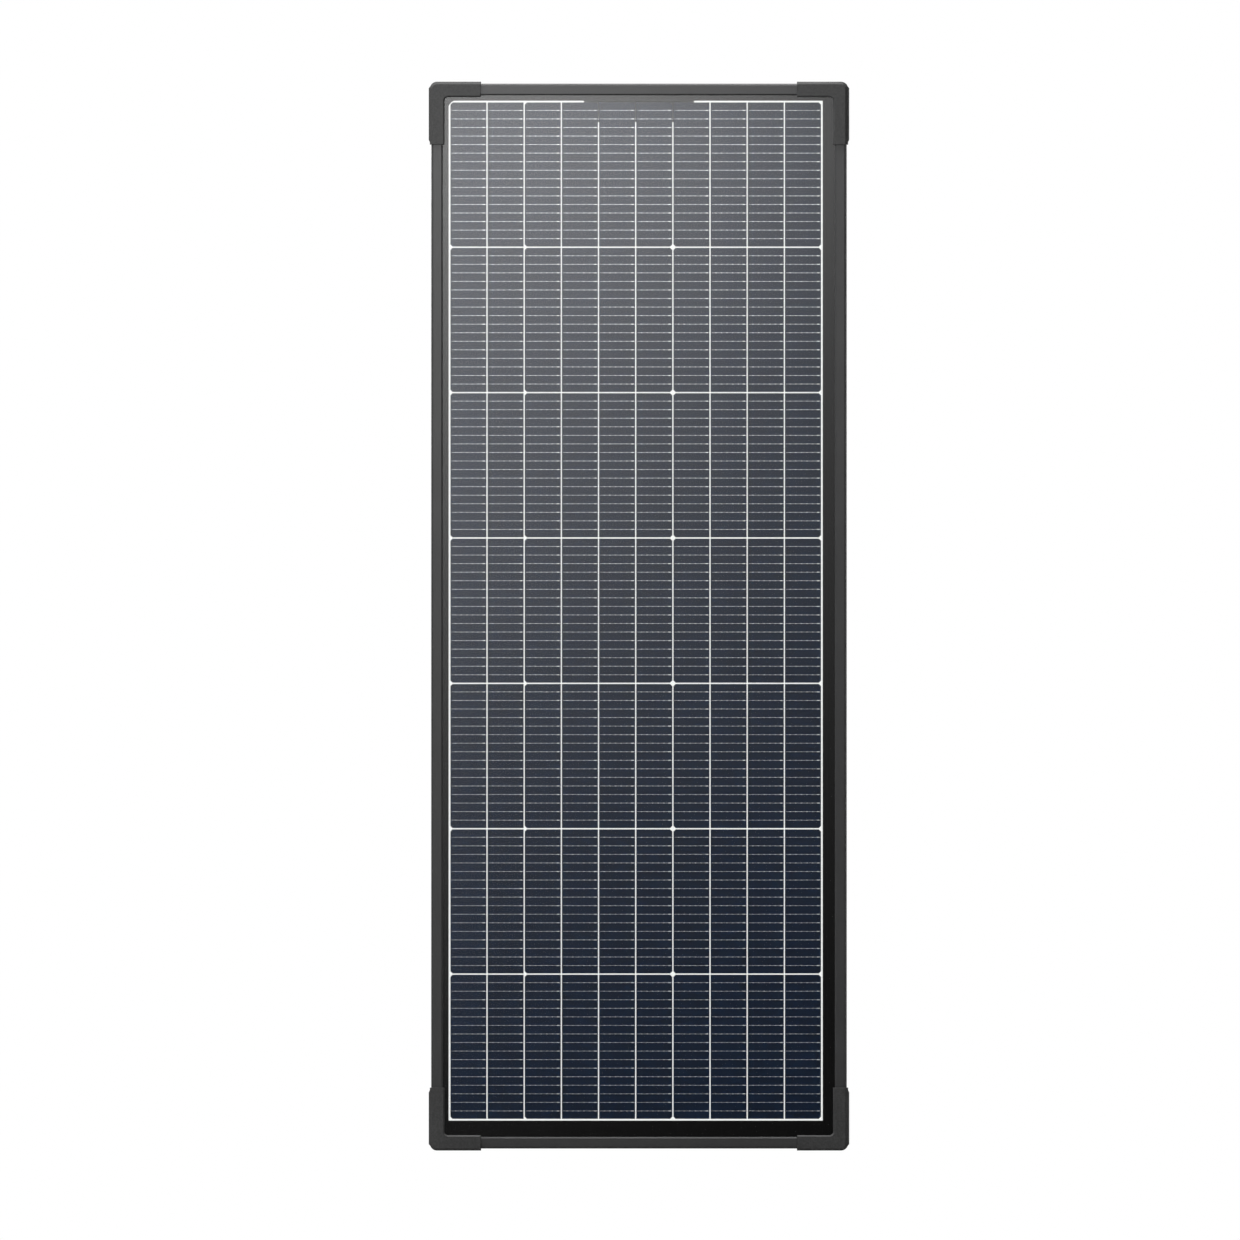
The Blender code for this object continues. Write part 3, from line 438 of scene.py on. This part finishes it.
def cell_edges(row):
    """Left edges of a row's cells, the width of one, and the row's bottom and top."""
    low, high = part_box(f"cell_string_{row}")
    width = (high.x - low.x - (COLUMNS - 1) * CELL_GAP) / COLUMNS
    lefts = [low.x + column * (width + CELL_GAP) for column in range(COLUMNS)]
    return lefts, width, low.z, high.z


def cell_outline(column, left, right, low, high):
    """A cell's outline, anticlockwise seen from the front. Only a wafer's own corners are cut."""
    cut_left = CHAMFER if column in CHAMFERED_LEFT else 0.0
    cut_right = CHAMFER if column in CHAMFERED_RIGHT else 0.0
    points = [(left, low + cut_left), (left + cut_left, low),
              (right - cut_right, low), (right, low + cut_right),
              (right, high - cut_right), (right - cut_right, high),
              (left + cut_left, high), (left, high - cut_left)]
    return [p for i, p in enumerate(points) if p != points[i - 1]]


def wafer_depths():
    """Front and back depths of the wafers, in the middle of the layer."""
    low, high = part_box("cell_string_1")
    middle = (low.y + high.y) / 2
    return middle - WAFER / 2, middle + WAFER / 2


def wire_heights(low, high):
    """Heights of a row's wires, spread evenly about its middle."""
    middle = (low + high) / 2
    return [middle + (number - (WIRES - 1) / 2) * WIRE_SPACING for number in range(WIRES)]


def build_encapsulant():
    """The two sheets, melted into one clear layer round the cells."""
    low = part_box("front_encapsulant")[0]
    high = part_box("rear_encapsulant")[1]
    outline = [(low.x, low.z), (high.x, low.z), (high.x, high.z), (low.x, high.z)]
    shape = Shape()
    shape.prism(outline, low.y, high.y)
    clear = clear_layer("encapsulant", [0.975, 0.975, 0.970, 1.0], 0.0005)
    made = shape.piece("encapsulant", clear)
    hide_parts("front_encapsulant", "rear_encapsulant")


def build_cells(row, material, tones):
    """Ten separate wafers side by side."""
    front, back = wafer_depths()
    lefts, width, low, high = cell_edges(row)
    shape = Shape()
    for column, left in enumerate(lefts):
        outline = cell_outline(column, left, left + width, low, high)
        shape.prism(outline, front, back, tones.uniform(0.3, 0.7))
    made = shape.piece(f"cells_{row}", material)
    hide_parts(f"cell_string_{row}")


def build_wires(row, material):
    """Sixteen wires a cell, each from the face of one cell down to the back of the next."""
    front, back = wafer_depths()
    half = WIRE_HEIGHT / 2
    lefts, width, low, high = cell_edges(row)
    shape = Shape()
    for z in wire_heights(low, high):
        for column, left in enumerate(lefts):
            right = left + width
            stations = [(left + WIRE_MARGIN, front - half), (right - WIRE_CRANK, front - half)]
            if column < COLUMNS - 1:
                following = right + CELL_GAP
                stations += [(right, front - half), (following, back + half),
                             (following + WIRE_CRANK, back + half),
                             (following + width - WIRE_MARGIN, back + half)]
            else:
                stations += [(right - STRING_END_GAP, front - half)]
            shape.swept(stations, z, WIRE_WIDTH / 2, half)
        stations = [(lefts[0] + STRING_END_GAP, back + half), (lefts[0] + width - WIRE_MARGIN, back + half)]
        shape.swept(stations, z, WIRE_WIDTH / 2, half)
    shape.piece(f"wires_{row}", material)


def build_pads(row, material):
    """The solder pads that hold a row's wires."""
    front, back = wafer_depths()
    lefts, width, low, high = cell_edges(row)
    shape = Shape()
    for z in wire_heights(low, high):
        add_pads(shape, lefts, width, z, front, back)
    shape.piece(f"pads_{row}", material)


def add_pads(shape, lefts, width, z, front, back):
    """Solder pads along one wire, on both faces of every cell. The one by the cell's right edge is longer."""
    count = int(width / PAD_SPACING)
    for left in lefts:
        end = left + width - END_PAD_INSET
        for number in range(count):
            x = end - number * PAD_SPACING
            size = END_PAD_SIZE if number == 0 else PAD_SIZE
            shape.pad(x, z, size, front, front - PAD_RISE)
            shape.pad(x, z, size, back, back + PAD_RISE)


def build_strings():
    face = silicon("cell_face")
    wire = wire_metal("cell_wire", (0.62, 0.64, 0.68), 0.95)
    solder = wire_metal("solder", (0.82, 0.83, 0.86), 0.5)
    tones = random.Random(7)
    for row in range(1, ROWS + 1):
        build_cells(row, face, tones)
        build_wires(row, wire)
        build_pads(row, solder)


# ---------------------------------------------------------------- studio

def add_lamp(name, place, target, size, power):
    """A soft rectangular lamp that no camera sees."""
    data = bpy.data.lights.new(name, "AREA")
    data.shape = "RECTANGLE"
    data.size, data.size_y = size
    data.energy = power
    lamp = bpy.data.objects.new(name, data)
    bpy.context.scene.collection.objects.link(lamp)
    lamp.location = place
    lamp.rotation_euler = (Vector(target) - Vector(place)).to_track_quat("-Z", "Y").to_euler()
    lamp.visible_camera = False
    return lamp


def build_studio():
    for name, x, y, z, size, power in MIRRORED_SOFTBOXES:
        add_lamp(name, (x, y, z), (x, 0.0, z), (size, size), power).visible_diffuse = False
    add_lamp("key_softbox", (-2.0, -1.2, 1.9), (0.0, 0.0, 0.2), (1.3, 1.3), 66)
    add_lamp("fill_softbox", (0.0, -3.0, 0.2), (0.0, 0.0, 0.0), (2.0, 2.0), 9).visible_glossy = False
    add_lamp("top_softbox", (-0.1, -0.25, 2.6), (0.0, 0.0, 0.6), (1.8, 0.7), 120)
    add_lamp("rear_softbox_left", (-2.2, 2.6, 1.3), (0.0, 0.0, 0.1), (1.8, 1.8), 100)
    add_lamp("rear_softbox_right", (2.4, 2.0, 0.4), (0.0, 0.0, 0.1), (1.6, 1.8), 55)
    build_floor()
    build_backdrop()


def build_floor():
    """A round pale floor just under the panel, that fades into the white backdrop."""
    angles = [2 * math.pi * i / FLOOR_SIDES for i in range(FLOOR_SIDES)]
    corners = [(FLOOR_RADIUS * math.cos(angle), FLOOR_RADIUS * math.sin(angle), CAD_LOW.z - FLOOR_GAP)
               for angle in angles]
    mesh = bpy.data.meshes.new("floor")
    mesh.from_pydata(corners, [], [list(range(FLOOR_SIDES))])
    floor = bpy.data.objects.new("floor", mesh)
    bpy.context.scene.collection.objects.link(floor)
    graph = Graph("pale_floor")
    grain = graph.noise(30 * MM, 2.0)
    shader = graph.add("ShaderNodeBsdfPrincipled", Roughness=0.8)
    graph.feed(shader.inputs["Base Color"], graph.tones(grain, (0.68, 0.68, 0.68), 0.02))
    shader.inputs["Emission Color"].default_value = (1.0, 1.0, 1.0, 1.0)
    away = graph.tree.nodes.new("ShaderNodeVectorMath")
    away.operation = "LENGTH"
    graph.feed(away.inputs[0], graph.place)
    fade = graph.between(away.outputs["Value"], 0.0, 0.75, *FLOOR_FADE)
    seen = graph.add("ShaderNodeLightPath").outputs["Is Camera Ray"]
    graph.feed(shader.inputs["Emission Strength"], graph.math("MULTIPLY_ADD", fade, seen, FLOOR_GLOW))
    graph.material.cycles.emission_sampling = "NONE"
    mesh.materials.append(graph.finish(shader.outputs[0]))
    floor.visible_glossy = False


def build_backdrop():
    """White wherever the camera looks past the panel, and a dim room for the light that falls on it."""
    world = bpy.data.worlds.new("studio")
    bpy.context.scene.world = world
    world.use_nodes = True
    tree = world.node_tree
    tree.nodes.clear()
    output = tree.nodes.new("ShaderNodeOutputWorld")
    seen = tree.nodes.new("ShaderNodeBackground")
    seen.inputs["Strength"].default_value = BACKDROP_STRENGTH
    room = tree.nodes.new("ShaderNodeBackground")
    room.inputs["Strength"].default_value = ROOM_STRENGTH
    path = tree.nodes.new("ShaderNodeLightPath")
    mixed = tree.nodes.new("ShaderNodeMixShader")
    tree.links.new(path.outputs["Is Camera Ray"], mixed.inputs[0])
    tree.links.new(room.outputs[0], mixed.inputs[1])
    tree.links.new(seen.outputs[0], mixed.inputs[2])
    tree.links.new(mixed.outputs[0], output.inputs["Surface"])


def build_camera():
    """Square on but for a slight turn, with no perspective."""
    data = bpy.data.cameras.new("camera")
    data.type = "ORTHO"
    data.ortho_scale = VIEW_WIDTH
    data.clip_end = 50.0
    camera = bpy.data.objects.new("camera", data)
    bpy.context.scene.collection.objects.link(camera)
    yaw = math.radians(VIEW_YAW)
    target = Vector((VIEW_CENTRE[0], CAD_LOW.y, VIEW_CENTRE[1]))
    camera.location = target + VIEW_DISTANCE * Vector((math.sin(yaw), -math.cos(yaw), 0.0))
    camera.rotation_euler = (math.pi / 2, 0.0, yaw)
    bpy.context.scene.camera = camera


def main():
    bpy.context.scene.view_settings.view_transform = "Standard"
    dress_frame()
    dress_junction_box()
    dress_laminate()
    soften_edges(0.22 * MM, "rail_")
    soften_edges(0.35 * MM, "corner_guard")
    soften_edges(0.25 * MM, "junction_base", "junction_lid")
    build_encapsulant()
    build_strings()
    build_studio()
    build_camera()


main()
